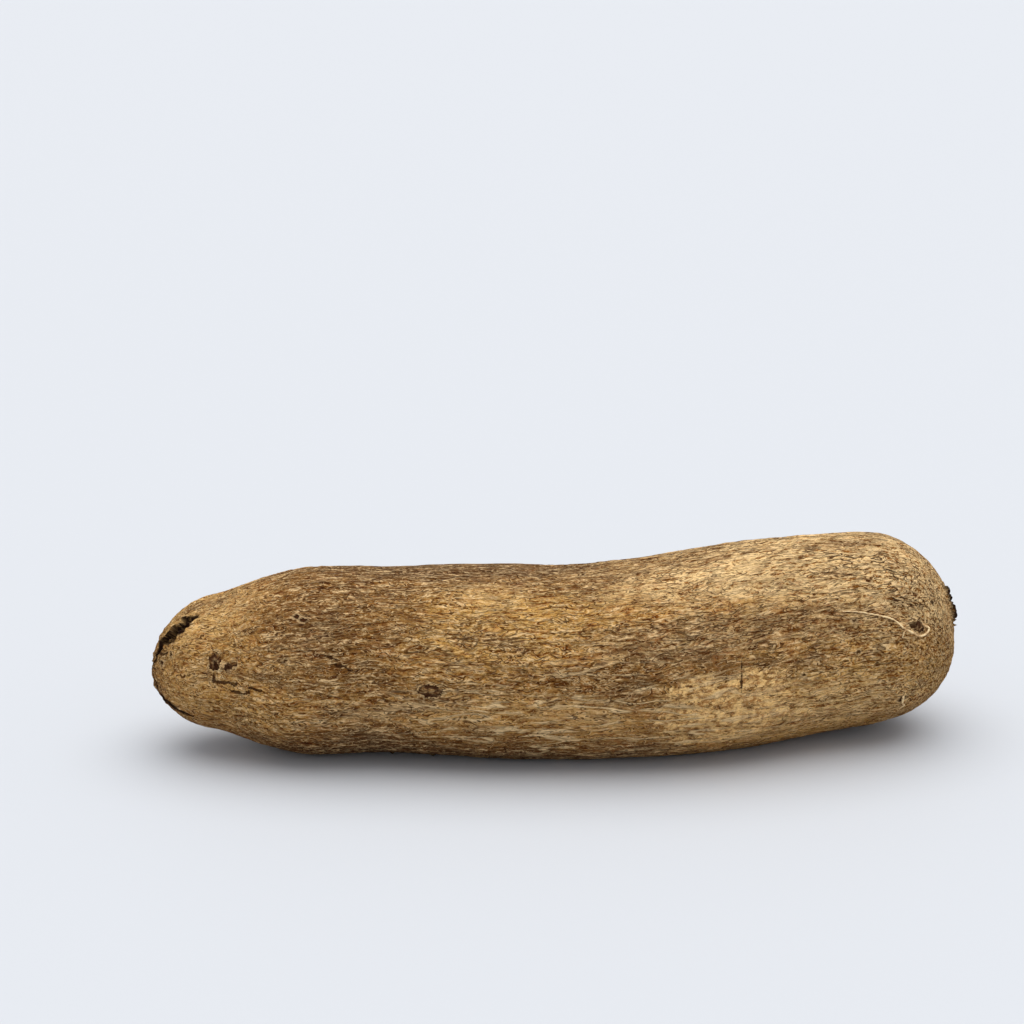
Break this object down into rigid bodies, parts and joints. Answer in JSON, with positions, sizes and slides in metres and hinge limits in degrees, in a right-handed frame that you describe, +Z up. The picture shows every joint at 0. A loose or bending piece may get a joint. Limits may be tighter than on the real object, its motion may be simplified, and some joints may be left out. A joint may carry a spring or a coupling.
{
  "type": "whole yam tuber",
  "caption": "Whole raw yam: a long, thick, gently bent root tuber with rough corky brown skin, lying on its side on a flattened belly.",
  "frame": {"origin": "on the surface that the tuber lies on, under the middle of its bounding box", "axes": "+X along the tuber from the narrow stem end to the blunt growing end, +Y across it to the side that the growing end bends to, +Z up"},
  "size_m": [0.38, 0.1276, 0.0961],
  "materials": {
    "corky_skin": "dry, matt, bark-like brown peel with fine lengthwise fissures"
  },
  "bodies": {
    "root": {"yam_tuber": "corky_skin"}
  },
  "joints": []
}
